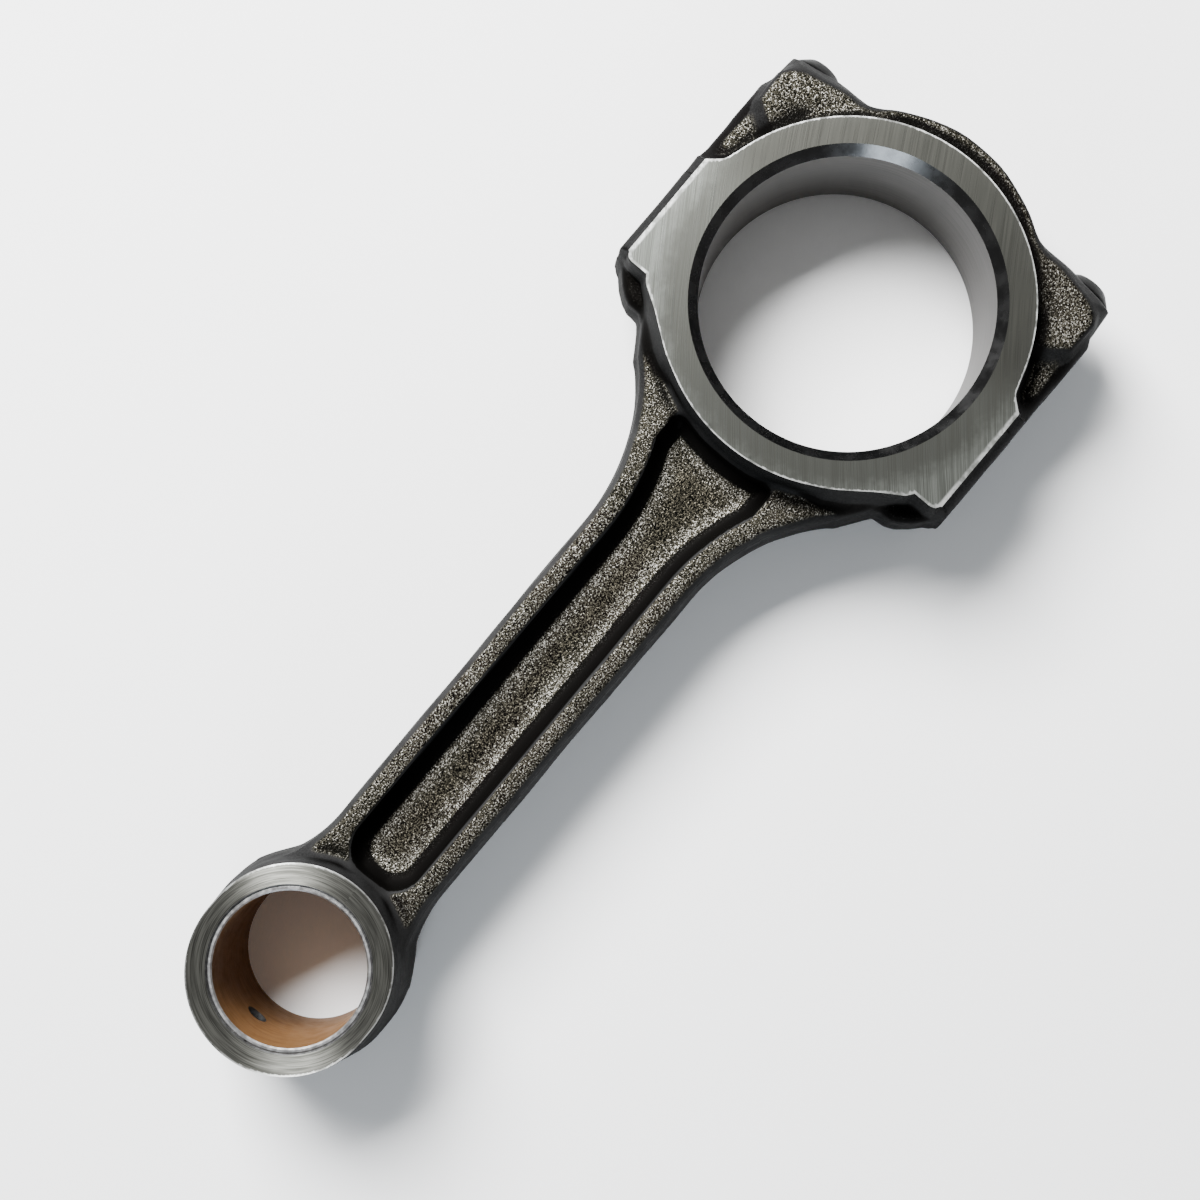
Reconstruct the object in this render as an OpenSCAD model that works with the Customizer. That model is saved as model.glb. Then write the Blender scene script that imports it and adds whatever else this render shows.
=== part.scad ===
// Forged connecting rod for a small diesel engine, with a split big end.
// Frame: millimetres. The origin is the crankpin axis at mid width, +X runs along the shank to the
// small end, +Y is across the rod and +Z is along the bore axes. The forging parts at z = 0.

/* [Main] */
// Distance between the crankpin axis and the piston pin axis
centre_distance = 220; // [200:1:240]
// Width across the machined side faces of both ends
end_width = 40.4; // [36:0.2:44]
// Forging draft, measured from the bore axis
draft = 7; // [3:1:8]

/* [Big end] */
// Housing bore for the crankpin bearing shells
crankpin_bore_d = 76; // [74:0.5:77]
// Bevel at each mouth of the housing bore
bore_chamfer = 2.6; // [1:0.2:3]
// Radius of the machined face around the bore
ring_r = 47.7; // [46:0.1:48.5]
// Width across the machined shoulders, at the face
shoulder_w = 102.7; // [100:0.1:104]
// Width across the shoulders at the parting line
shoulder_mid_w = 110.6; // [108:0.2:112]
// Distance from the bore axis to the end of the shoulders on the shank side
shoulder_x = 27; // [25:0.5:29]
// Half thickness of the thread bosses beyond the shoulders
boss_z = 9.5; // [8:0.5:11]

/* [Cap] */
// Distance from the bore axis to the crown of the cap, at the parting line
crown_reach = 55.5; // [54:0.1:57]
// Outline radius of the crown
crown_r = 43.9; // [41:0.1:46]
// Half thickness of the crown and the ears
ear_z = 15.7; // [14:0.1:17]
// Half thickness of the recess beside each shoulder
recess_z = 11.5; // [10:0.5:13]
// Width across the ears at the parting line
ear_w = 108.2; // [104:0.2:109]

/* [Cap screws] */
// Distance between the two screw axes
screw_pitch = 90.6; // [90:0.2:92]
// Outer diameter of the thread
thread_d = 11; // [10:0.5:11.5]
// Diameter of the plain waist under the head
waist_d = 10; // [9:0.5:10.5]
// Diameter of the head
head_d = 16; // [14:0.5:17]
// Height of the head
head_h = 8.8; // [7:0.2:10]
// Length from the seat of the head to the tip
screw_l = 67; // [60:1:69]
// Distance from the bore axis to the seat of the head
seat_x = 39.5; // [38:0.5:41]
// Radial play of the screws in the rod and the cap
screw_play = 0.1; // [0.05:0.05:0.2]

/* [Shank] */
// Width over the flanges at the parting line
shank_w = 35; // [32:0.5:38]
// Thickness over the flanges
shank_t = 21; // [18:0.5:24]
// Thickness of the web between the flanges
web_t = 6.6; // [5:0.2:9]
// Width of the channel at its mouth
channel_w = 20.6; // [18:0.2:22]
// Radius along the outer edge of the flanges
flange_r = 2.5; // [1:0.5:3]
// Radius at the foot of the channel walls
channel_r = 4.5; // [3:0.5:5]
// Radius of the flare from the shank to the big end, in plan
flare_r = 56.3; // [50:0.1:60]
// Place along the shank where the flare starts
flare_x = 84; // [80:1:90]
// Radius of the flare from the shank to the small end, in plan
eye_flare_r = 41; // [38:1:44]

/* [Small end] */
// Bore of the bush for the piston pin
pin_bore_d = 39.5; // [38:0.5:40]
// Outer diameter of the bush
bush_d = 42.2; // [42:0.1:43]
// Bevel at each mouth of the bush and of the eye
bush_chamfer = 0.5; // [0.3:0.1:0.6]
// Side radius of the eye at the machined face
eye_r = 25.7; // [25.3:0.1:27]
// How much longer the eye is than it is wide
eye_stretch = 2.8; // [1:0.2:4]
// Oil hole through the tip of the eye and the bush
oil_hole_d = 6; // [4:0.5:7]

/* [Hidden] */
$fn = 96;
eps = 0.2;
half_w = end_width / 2;
slope = tan(draft);
bore_r = crankpin_bore_d / 2;
screw_y = screw_pitch / 2;
hole_r = thread_d / 2 + screw_play;
// Two intermediate heights of the drafted, round-edged big end: under the edge, and the parting line
edge_z = half_w - 4.2;
side_y = shoulder_w / 2;
edge_y = shoulder_mid_w / 2 - edge_z * slope * 0.7;
mid_y = shoulder_mid_w / 2;
// Spot face around each screw head
seat_r = head_d / 2 + 1.3;
// Depth of the tapped hole from the split plane
hole_depth = screw_l - seat_x + 2.5;
// Where the flare to the small end starts
eye_flare_x = centre_distance - 36.5;
// A flare dips this much below the straight line it runs out of, at this distance past its start
dip = 0.1;
run_in = 3;
steel = "DimGray";
bright = "DarkGray";
bronze = "Peru";

// Both halves of a shape that is drawn above the parting line
module both_halves() {
    children();
    mirror([0, 0, 1]) children();
}

// Both sides of a shape that is drawn at +Y
module both_sides() {
    children();
    mirror([0, 1, 0]) children();
}

// Outline closed by its own mirror image across the X axis, as a thin slice at height z
module slice(z, pts) {
    far = [for (i = [len(pts) - 1 : -1 : 0]) [pts[i][0], -pts[i][1]]];
    translate([0, 0, z]) linear_extrude(height = eps) polygon(concat(pts, far));
}

// Drafted disc on the parting line: radius r at height h
module drafted_disc(r, h) {
    both_halves() cylinder(h = h, r1 = r + h * slope, r2 = r);
}

// Everything on the shank side of the split plane
module shank_side() {
    translate([0, -80, -40]) cube([320, 160, 80]);
}

// Everything on the cap side of the split plane
module cap_side() {
    translate([-120, -80, -40]) cube([120, 160, 80]);
}

// Drafted, round-edged corner of a flange, from the parting line to its top
function flange_corner(half) =
    let (zc = shank_t / 2 - flange_r, yc = half - zc * slope - flange_r / cos(draft))
    concat(
        [[half, 0]],
        [for (i = [0 : 4]) let (a = draft + i * (90 - draft) / 4)
            [yc + flange_r * cos(a), zc + flange_r * sin(a)]]
    );

// Channel wall from its mouth down to the web, as [half width, height]
function channel_wall(half) =
    let (zc = web_t / 2 + channel_r, yc = half - (shank_t / 2 - zc) * slope - channel_r / cos(draft))
    concat(
        [[half + slope, shank_t / 2 + 1]],
        [for (i = [0 : 5]) let (a = -draft - i * (90 - draft) / 5)
            [yc + channel_r * cos(a), zc + channel_r * sin(a)]]
    );

// Mirror image of a point list in its second number, in the opposite order
function below(pts) = [for (i = [len(pts) - 1 : -1 : 0]) [pts[i][0], -pts[i][1]]];
// Mirror image of a point list in its first number, in the opposite order
function across(pts) = [for (i = [len(pts) - 1 : -1 : 0]) [-pts[i][0], pts[i][1]]];
// The same wall, measured outward from a vertical axis at y = cy
function turned(pts, cy) = [for (p = pts) [cy - p[0], p[1]]];

// Flank section of the shank at +Y, from its lowest to its highest point
flank = let (corner = flange_corner(shank_w / 2)) concat(below(corner), corner);

// Block as thick as the shank from x_low to x_high, hollowed on both sides by a flare of radius r
// whose narrowest place is at x_waist, a hair inside the straight flanks
module flared_block(x_low, x_high, reach_y, x_waist, r) {
    top = shank_t / 2;
    cy = shank_w / 2 + r;
    reach = cy - flank[len(flank) - 1][0];
    difference() {
        translate([x_low, -reach_y, -top]) cube([x_high - x_low, 2 * reach_y, shank_t]);
        both_sides() translate([x_waist, cy - dip, 0]) rotate_extrude($fn = 180)
            polygon(concat([[0, -top - 1], [reach, -top - 1]], turned(flank, cy),
                [[reach, top + 1], [0, top + 1]]));
    }
}

// Solid bar of the shank, before the channels
module shank_bar() {
    rotate([90, 0, 90]) translate([0, 0, flare_x - run_in])
        linear_extrude(height = eye_flare_x - flare_x + 2 * run_in) polygon(concat(flank, across(flank)));
    flared_block(30, flare_x + run_in, 37, flare_x + run_in, flare_r);
    flared_block(eye_flare_x - run_in, centre_distance - 12, 24, eye_flare_x - run_in, eye_flare_r);
}

// One channel above the web: straight, round at the small end and wider towards the big end
module channel() {
    wall = channel_wall(channel_w / 2);
    wide_r = flare_r + 11.7;
    cy = channel_w / 2 + wide_r;
    waist_x = flare_x + run_in;
    round_x = centre_distance - 35.5;
    rotate([90, 0, 90]) translate([0, 0, flare_x - run_in])
        linear_extrude(height = round_x - flare_x + run_in) polygon(concat(wall, across(wall)));
    translate([round_x, 0, 0]) rotate_extrude()
        polygon(concat([[0, shank_t / 2 + 1]], wall, [[0, web_t / 2]]));
    difference() {
        translate([44, -16.2, web_t / 2]) cube([waist_x - 44, 32.4, shank_t]);
        both_sides() translate([waist_x, cy - dip, 0]) rotate_extrude($fn = 180)
            polygon(concat([[0, shank_t / 2 + 1]], turned(wall, cy), [[0, web_t / 2]]));
        translate([44, -20, shank_t / 2 + 1]) cube([waist_x - 43, 40, shank_t]);
    }
}

// Round foot where the ring wall runs down into the web
module ring_foot() {
    foot_r = ring_r + (half_w - web_t / 2) * slope;
    start_r = ring_r - 4;
    upper = concat(
        [[start_r, half_w - 2]],
        [for (i = [0 : 5]) let (a = 180 + draft + i * (82 - draft) / 5)
            [foot_r + 5 + 5 * cos(a), web_t / 2 + 5 + 5 * sin(a)]]
    );
    rotate([0, 0, -22]) rotate_extrude(angle = 44, $fn = 180) polygon(concat(upper, below(upper)));
}

// Eye of the small end, slightly longer than wide, widest at the parting line
module eye_blank() {
    mid_r = eye_r + half_w * slope * 0.9;
    translate([centre_distance, 0, 0]) hull() {
        for (s = [-1, 1]) translate([s * eye_stretch / 2, 0, 0]) {
            translate([0, 0, -half_w]) cylinder(h = end_width, r = eye_r, $fn = 64);
            translate([0, 0, -eps / 2]) cylinder(h = eps, r = mid_r, $fn = 64);
        }
    }
}

// Shank-side half of the big end, with its shoulders and thread bosses
module upper_half_blank() {
    face = [[0, side_y], [shoulder_x - 1.8, side_y], [shoulder_x, side_y - 1.8],
        [shoulder_x, screw_y - 1.3], [39, 26.5]];
    edge = [[0, edge_y], [shoulder_x - 0.4, edge_y], [shoulder_x + 1.4, 45], [41, 27.5]];
    middle = [[0, mid_y], [shoulder_x - 0.3, mid_y], [45, 32.8]];
    difference() {
        hull() {
            both_halves() {
                slice(half_w - eps, face);
                slice(edge_z, edge);
            }
            slice(-eps / 2, middle);
        }
        // Step down from each shoulder to its thread boss
        both_sides() both_halves()
            translate([shoulder_x, screw_y - 1.3, boss_z]) cube([20, 20, half_w]);
        // Corner between each thread boss and the flare
        both_sides() translate([40.4, 41.4, -half_w]) cylinder(h = end_width, r = 4.2);
    }
    intersection() {
        drafted_disc(ring_r, half_w);
        shank_side();
    }
}

module rod_body() color(steel) difference() {
    union() {
        difference() {
            shank_bar();
            both_halves() channel();
        }
        ring_foot();
        eye_blank();
        upper_half_blank();
    }
    housing_bore();
    translate([centre_distance, 0, 0]) {
        translate([0, 0, -half_w - 1]) cylinder(h = end_width + 2, r = bush_d / 2);
        both_halves() translate([0, 0, half_w - bush_chamfer])
            cylinder(h = bush_chamfer + 1, r1 = bush_d / 2, r2 = bush_d / 2 + bush_chamfer + 1);
        oil_hole();
    }
    both_sides() translate([-1, screw_y, 0]) rotate([0, 90, 0]) {
        cylinder(h = hole_depth + 1, r = hole_r);
        translate([0, 0, hole_depth + 1]) cylinder(h = hole_r * 0.6, r1 = hole_r, r2 = 0.2);
    }
}

// Bore for the bearing shells, with a bevel at each mouth
module housing_bore() {
    translate([0, 0, -half_w - 1]) cylinder(h = end_width + 2, r = bore_r, $fn = 180);
    both_halves() translate([0, 0, half_w - bore_chamfer])
        cylinder(h = bore_chamfer + 1, r1 = bore_r, r2 = bore_r + bore_chamfer + 1, $fn = 180);
}

// Radial oil hole, from the pin bore out through the tip of the eye
module oil_hole() {
    rotate([0, 90, 0]) cylinder(h = eye_r + 10, r = oil_hole_d / 2);
}

module big_end_cap() color(steel) difference() {
    union() {
        intersection() {
            union() {
                drafted_disc(ring_r, half_w);
                translate([crown_r - crown_reach, 0, 0]) drafted_disc(crown_r - ear_z * slope, ear_z);
            }
            cap_side();
        }
        // Shoulders, level with the ring
        hull() both_halves() {
            slice(half_w - eps, [[-11, 45.8], [-6, side_y], [0, side_y]]);
            slice(edge_z, [[-13, 47.5], [-8.5, edge_y], [0, edge_y]]);
            slice(recess_z - 1, [[-14, 48], [-10, edge_y + 0.5], [0, edge_y + 0.5]]);
        }
        // Sides, as high as the recess between the shoulder and the ear
        hull() {
            both_halves() {
                slice(recess_z - eps, [[-31, 40], [-31, mid_y - 3.2], [0, mid_y - 3.2]]);
                slice(recess_z - 2.4, [[-32.3, 40], [-32.3, mid_y - 1.1], [0, mid_y - 1.1]]);
            }
            slice(-eps / 2, [[-33, 40], [-33, mid_y], [0, mid_y]]);
        }
        // Ears around the screw heads
        hull() {
            both_halves() {
                slice(ear_z - eps, [[-42.2, 30], [-41.2, 39], [-39.9, 44.7], [-38, 49.6], [-36.2, 51],
                    [-27.6, 51], [-23.5, 44]]);
                slice(ear_z - 2.6, [[-43.2, 30], [-42.4, 39], [-41.2, 45.4], [-39.4, 50.6], [-37.2, 52.2],
                    [-26.6, 52.2], [-21.5, 44]]);
            }
            slice(-eps / 2, [[-47.4, 30], [-47, 42], [-46.4, 50], [-44.9, ear_w / 2 - 0.2],
                [-20, ear_w / 2], [-16, 44]]);
        }
    }
    housing_bore();
    both_sides() translate([-80, screw_y, 0]) rotate([0, 90, 0]) {
        cylinder(h = 81, r = hole_r);
        cylinder(h = 80 - seat_x, r = seat_r);
    }
}

// Cap screw along -X from its tip: thread, waist, and a round head with a six-lobe socket
module cap_screw() {
    tip_x = screw_l - seat_x;
    thread_l = tip_x + 2;
    bevel_h = 3.2;
    difference() {
        rotate([0, -90, 0]) {
            translate([0, 0, -tip_x]) cylinder(h = 1.2, r1 = thread_d / 2 - 1.2, r2 = thread_d / 2);
            translate([0, 0, 1.2 - tip_x]) cylinder(h = thread_l - 1.2, r = thread_d / 2);
            translate([0, 0, 2]) cylinder(h = seat_x - 2, r = waist_d / 2);
            translate([0, 0, seat_x]) cylinder(h = head_h - bevel_h, r = head_d / 2);
            translate([0, 0, seat_x + head_h - bevel_h])
                cylinder(h = bevel_h, r1 = head_d / 2, r2 = head_d / 2 - 3.4);
        }
        translate([1 - seat_x - head_h, 0, 0]) rotate([0, -90, 0]) {
            translate([0, 0, -5]) cylinder(h = 7, r = 3.3);
            for (i = [0 : 5]) rotate([0, 0, 60 * i]) translate([3.3, 0, -5]) cylinder(h = 7, r = 0.9);
        }
    }
}

module cap_screw_left() color(bright) translate([0, -screw_y, 0]) cap_screw();

module cap_screw_right() color(bright) translate([0, screw_y, 0]) cap_screw();

module small_end_bush() color(bronze) translate([centre_distance, 0, 0]) difference() {
    translate([0, 0, 0.3 - half_w]) cylinder(h = end_width - 0.6, r = bush_d / 2);
    translate([0, 0, -half_w]) cylinder(h = end_width, r = pin_bore_d / 2);
    both_halves() translate([0, 0, half_w - 0.3 - bush_chamfer])
        cylinder(h = bush_chamfer + 1, r1 = pin_bore_d / 2, r2 = pin_bore_d / 2 + bush_chamfer + 1);
    oil_hole();
}

rod_body();
big_end_cap();
cap_screw_left();
cap_screw_right();
small_end_bush();
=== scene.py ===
"""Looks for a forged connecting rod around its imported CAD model.

Shapes are worked out in millimetres, in the CAD frame: the origin is the crankpin axis at mid width, +X runs
along the shank to the small end, +Y is across and +Z along the bores. Meshes are made in metres. A forging is
a distance field over the quarter with y and z above zero, mirrored to all four, and the machining is cut into
its mesh with crisp tools.
"""

import math

import bpy
import numpy as np
from mathutils import Euler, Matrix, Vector


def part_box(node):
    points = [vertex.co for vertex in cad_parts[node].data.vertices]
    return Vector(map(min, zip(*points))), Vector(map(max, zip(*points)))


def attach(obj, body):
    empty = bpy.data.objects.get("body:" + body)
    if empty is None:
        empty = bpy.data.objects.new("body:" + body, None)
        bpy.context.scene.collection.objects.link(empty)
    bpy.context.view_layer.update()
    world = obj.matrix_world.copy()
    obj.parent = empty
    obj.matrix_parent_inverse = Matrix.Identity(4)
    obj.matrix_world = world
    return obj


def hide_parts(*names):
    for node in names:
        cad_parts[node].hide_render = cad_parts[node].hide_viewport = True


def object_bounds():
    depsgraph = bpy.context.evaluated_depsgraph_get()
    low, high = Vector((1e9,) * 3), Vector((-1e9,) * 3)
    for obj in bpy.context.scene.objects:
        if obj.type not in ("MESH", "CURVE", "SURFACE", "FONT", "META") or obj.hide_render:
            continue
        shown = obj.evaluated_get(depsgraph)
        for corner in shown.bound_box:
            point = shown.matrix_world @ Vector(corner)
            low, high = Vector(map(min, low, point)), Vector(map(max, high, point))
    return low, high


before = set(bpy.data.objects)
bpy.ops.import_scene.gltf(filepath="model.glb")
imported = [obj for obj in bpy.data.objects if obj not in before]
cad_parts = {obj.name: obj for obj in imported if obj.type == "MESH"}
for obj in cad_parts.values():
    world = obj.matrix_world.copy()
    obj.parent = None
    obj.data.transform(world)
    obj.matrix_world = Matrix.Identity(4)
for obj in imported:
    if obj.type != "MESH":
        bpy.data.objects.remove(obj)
cad_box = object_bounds()

MM = 0.001


def node_box(node):
    """Lowest and highest corner of a CAD node, in millimetres."""
    low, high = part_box(node)
    return np.array(low) / MM, np.array(high) / MM


ROD_LOW, ROD_HIGH = node_box("rod_body")
CAP_LOW, CAP_HIGH = node_box("big_end_cap")
BUSH_LOW, BUSH_HIGH = node_box("small_end_bush")
SCREW_LOW, SCREW_HIGH = node_box("cap_screw_right")

# Main sizes
PIN_X = (BUSH_LOW[0] + BUSH_HIGH[0]) / 2
HALF_W = ROD_HIGH[2]
SIDE = ROD_HIGH[1]
BORE_R = 38.0
CHAMFER = 2.6
RING_R = 47.7
SCREW_Y = (SCREW_LOW[1] + SCREW_HIGH[1]) / 2
HEAD_R = SCREW_HIGH[2]
SCREW_TIP = SCREW_HIGH[0]
HEAD_END = SCREW_LOW[0]
SEAT_X = -39.5
SEAT_R = HEAD_R + 1.3
THREAD_R = 5.5
HOLE_R = 5.6
BUSH_R = BUSH_HIGH[1]
PIN_R = 19.75
OIL_R = 3.0
TAN, COS = math.tan(math.radians(7)), math.cos(math.radians(7))

# Shank: half width, top and web heights, and the two flares in plan
SHANK_HALF, SHANK_END_HALF = 17.55, 17.3
SHANK_TOP, WEB_TOP = 10.5, 3.3
FLARE_X, FLARE_R = 84.0, 56.3
EYE_FLARE_X, EYE_FLARE_R = 183.5, 41.0
MOUTH_HALF, MOUTH_R = 10.3, 68.0
CHANNEL_END = 192.4

# Small end: side radius at the face, and how far it is stretched each way along X
EYE_R, EYE_STRETCH = 25.7, 1.4
EYE_DRAFT = 0.9 * TAN

# Outlines at the machined face and at the parting line; both run past the split plane and the X axis
ROD_FACE = [(-10, -10), (-10, 60), (25.2, 60), (25.4, 51), (26.5, 50.4), (27.05, 49.3), (27.05, 44),
            (29, 42.5), (39.2, 26.3), (42, 18), (42, -10)]
ROD_MID = [(-10, -10), (-10, 60), (27.2, 60), (27.4, 54.7), (28.6, 53.4), (29.2, 50), (29.6, 46),
           (31, 43.8), (37.6, 38.6), (44, 34.3), (46.5, 27), (44, 18), (44, -10)]
BOSS = [(15, 30), (15, 53.4), (28, 53.2), (30, 51.5), (32, 49.7), (34, 47.2), (35.2, 44.6), (35.4, 41),
        (36.4, 39), (30, 30)]
BOSS_TOP = 9.5
CAP_FACE = [(10, -10), (10, 60), (-4.4, 60), (-4.7, 52), (-5.9, 50.4), (-7.4, 48.6), (-8.8, 47.1),
            (-11.4, 45.8), (-16, 43.5), (-16, -10)]
CAP_MID = [(10, -10), (10, 60), (-10, 60), (-11.4, 51), (-13.5, 48.4), (-17, 46.4), (-22, 44.5),
           (-22, -10)]
EAR = [(-42.2, 20), (-42.2, 30), (-41.8, 36), (-41, 40), (-39.9, 44.7), (-38, 49.4), (-36.2, 51), (-27.6, 51),
       (-23.5, 44), (-20.5, 36), (-20.5, 20)]
EAR_MID = [(-47.4, 20), (-47.3, 36), (-47, 42), (-46.4, 50), (-44.9, 53.9), (-33, 54.1), (-20, 54.1),
           (-16.5, 44), (-16.5, 20)]
# a patch in each recess of the cap that is left without painted shade
RECESS_PATCH, PATCH_R = ((-22, 50.2), (-14.5, 50.8)), 0.9
EAR_TOP, RECESS_TOP = 15.7, 11.5
CROWN_X, CROWN_R = -11.6, 42.0


# ---------------------------------------------------------------- distance fields

def joined(a, b, r):
    """Union with a fillet of radius r."""
    u, v = np.maximum(r - a, 0), np.maximum(r - b, 0)
    return np.maximum(r, np.minimum(a, b)) - np.hypot(u, v)


def common(a, b, r):
    """Intersection with its edge rounded to radius r."""
    u, v = np.maximum(r + a, 0), np.maximum(r + b, 0)
    return np.minimum(-r, np.maximum(a, b)) + np.hypot(u, v)


def outline(x, y, points):
    """Signed distance in plan to a closed outline, negative inside."""
    shape = np.broadcast(x, y).shape
    best, inside = np.full(shape, np.inf), np.zeros(shape, bool)
    for (ax, ay), (bx, by) in zip(points, points[1:] + points[:1]):
        ex, ey = bx - ax, by - ay
        px, py = x - ax, y - ay
        t = np.clip((px * ex + py * ey) / (ex * ex + ey * ey), 0, 1)
        best = np.minimum(best, (px - ex * t) ** 2 + (py - ey * t) ** 2)
        if ey:
            inside ^= ((ay > y) != (by > y)) & (px < ex * py / ey)
    return np.where(inside, -1, 1) * np.sqrt(best)


def waves(seed, lengths, x, y, z):
    """Gentle unevenness, the sum of a few plane waves in random directions, about -1 to 1."""
    rng = np.random.default_rng(seed)
    total = 0
    for length in lengths:
        way = rng.normal(size=3)
        way *= 2 * math.pi / length / np.linalg.norm(way)
        total = total + np.sin(x * way[0] + y * way[1] + z * way[2] + rng.uniform(0, 6.28))
    return total / math.sqrt(len(lengths))


UNEVEN = (31, 24, 19, 15, 12, 9.5, 7.5, 6)


def shank_plan(x, y):
    """Distance outside the shank's plan at the parting line."""
    slope = (SHANK_HALF - SHANK_END_HALF) / (EYE_FLARE_X - FLARE_X)
    straight = y - SHANK_HALF + slope * (x - FLARE_X)
    big = FLARE_R - np.hypot(x - FLARE_X, y - SHANK_HALF - FLARE_R)
    small = EYE_FLARE_R - np.hypot(x - EYE_FLARE_X, y - SHANK_END_HALF - EYE_FLARE_R)
    plan = np.where(x < FLARE_X, big, np.where(x > EYE_FLARE_X, small, straight))
    trimmed = np.where(x < 55, np.maximum(0.545 * x + 0.838 * y - 52.7, 26 - x), -10)
    return np.maximum(plan, np.maximum(trimmed, x - PIN_X + 12))


def channel_plan(x, y):
    """Distance inside the mouth of the channel, positive outside it."""
    wide = MOUTH_HALF + MOUTH_R - np.sqrt(np.maximum(MOUTH_R ** 2 - (FLARE_X - x) ** 2, 1))
    half = np.where(x < FLARE_X, np.minimum(wide, 16.2), MOUTH_HALF)
    return common(common(y - half, x - CHANNEL_END, 9.5), 48.8 - np.hypot(x, y), 4.2)


def block(x, y, z, face, mid):
    """Drafted block between its outline at the face and its outline at the parting line, with round sides."""
    t = np.clip(z / HALF_W, 0, 1.15)
    walls = (1 - t) * outline(x, y, mid) + t * outline(x, y, face)
    lean = math.radians(4.4)
    side = (y - SIDE + z * math.tan(lean)) * math.cos(lean)
    return np.maximum(0.95 * walls, common(side, z - HALF_W - 0.52, 4.5))


def rod_shoulders(x, y, z):
    """Distance outside the part of the rod that is as high as its side face."""
    return block(x, y, z, ROD_FACE, ROD_MID)


def rod_shape(x, y, z):
    """Distance outside the rod's forging before its side faces are ground; y and z are never negative."""
    plan = shank_plan(x, y)
    flank = (plan + z * TAN * np.where(x < 60, 1.25, 1.0)) * COS
    bar = common(flank, z - SHANK_TOP, 2.5)
    mouth = (channel_plan(x, y) + (SHANK_TOP - z) * TAN) * COS
    flanges = common(bar, -mouth, 1.1)
    web = np.maximum(flank, z - WEB_TOP)
    ring = (np.hypot(x, y) - RING_R - (HALF_W - z) * TAN) * COS
    eye_plan = np.hypot(np.maximum(np.abs(x - PIN_X) - EYE_STRETCH, 0), y) - EYE_R
    eye = (eye_plan - (HALF_W - z) * EYE_DRAFT) * COS
    boss = common((outline(x, y, BOSS) + z * TAN) * COS, z - BOSS_TOP, 2.2)
    ends = np.minimum(ring, eye)
    body = np.minimum(joined(web, flanges, 4.6), joined(web, ends, 5.5))
    body = np.minimum(body, joined(flanges, ends, 2.6))
    # the fillets of the web must not swell past the flanks
    body = np.maximum(body, np.where(x > 150, joined(flank, eye, 1.0), joined(flank, ring, 2.6)))
    head = joined(rod_shoulders(x, y, z), boss, 0.6)
    return joined(body, head, 1.6)


def cap_shoulders(x, y, z):
    """Distance outside the part of the cap that is as high as its side face."""
    ring = (np.hypot(x, y) - RING_R - (HALF_W - z) * TAN) * COS
    return joined(ring, block(x, y, z, CAP_FACE, CAP_MID), 1.0)


def cap_shape(x, y, z):
    """Distance outside the cap's forging before its side faces are ground; y and z are never negative."""
    crown = (np.hypot(x - CROWN_X, y) - CROWN_R + (z - EAR_TOP) * TAN) * COS
    crown = common(crown, z - EAR_TOP, 1.4)
    t = np.clip(z / EAR_TOP, 0, 1) ** 2
    ear = 0.96 * ((1 - t) * outline(x, y, EAR_MID) + t * (outline(x, y, EAR) - 0.4))
    ear = common(ear, z - EAR_TOP, 1.2)
    lean = math.radians(4.4)
    wall = (y - SIDE + z * math.tan(lean)) * math.cos(lean)
    side = np.maximum(common(wall, -33 - x, 2.5), 36 - y)
    recess = common(side, z - RECESS_TOP, 4.2)
    ears = joined(ear, crown, 3)
    tall = joined(ears, cap_shoulders(x, y, z), 1.3)
    return np.maximum(joined(tall, recess, 3.4), wall)


def ground(shape):
    """The same forging with its side faces ground flat."""
    return lambda x, y, z: np.maximum(shape(x, y, z), z - HALF_W)


# ---------------------------------------------------------------- meshes from fields

def slopes(field, x, y, z, step=0.05):
    """Gradient of a field at points."""
    parts = [field(x + step, y, z) - field(x - step, y, z),
             field(x, y + step, z) - field(x, y - step, z),
             field(x, y, z + step) - field(x, y, z - step)]
    return np.stack(parts, -1) / (2 * step)


def folded(field):
    """The same field for points of either sign in y and z."""
    return lambda x, y, z: field(x, np.abs(y), np.abs(z))


def cells_to_quads(solid, index):
    """Quads around every grid edge that leaves the solid."""
    quads = []
    for axis in range(3):
        a = np.moveaxis(solid, axis, 0)
        cells = np.moveaxis(index, axis, 0)
        for out in (True, False):
            leaves = a[:-1] & ~a[1:] if out else ~a[:-1] & a[1:]
            i, j, k = np.nonzero(leaves[:, 1:-1, 1:-1])
            ring = [cells[i, j, k], cells[i, j + 1, k], cells[i, j + 1, k + 1], cells[i, j, k + 1]]
            if out == (axis == 1):
                ring = ring[::-1]
            quads.append(np.stack(ring, -1))
    return np.concatenate(quads)


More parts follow.
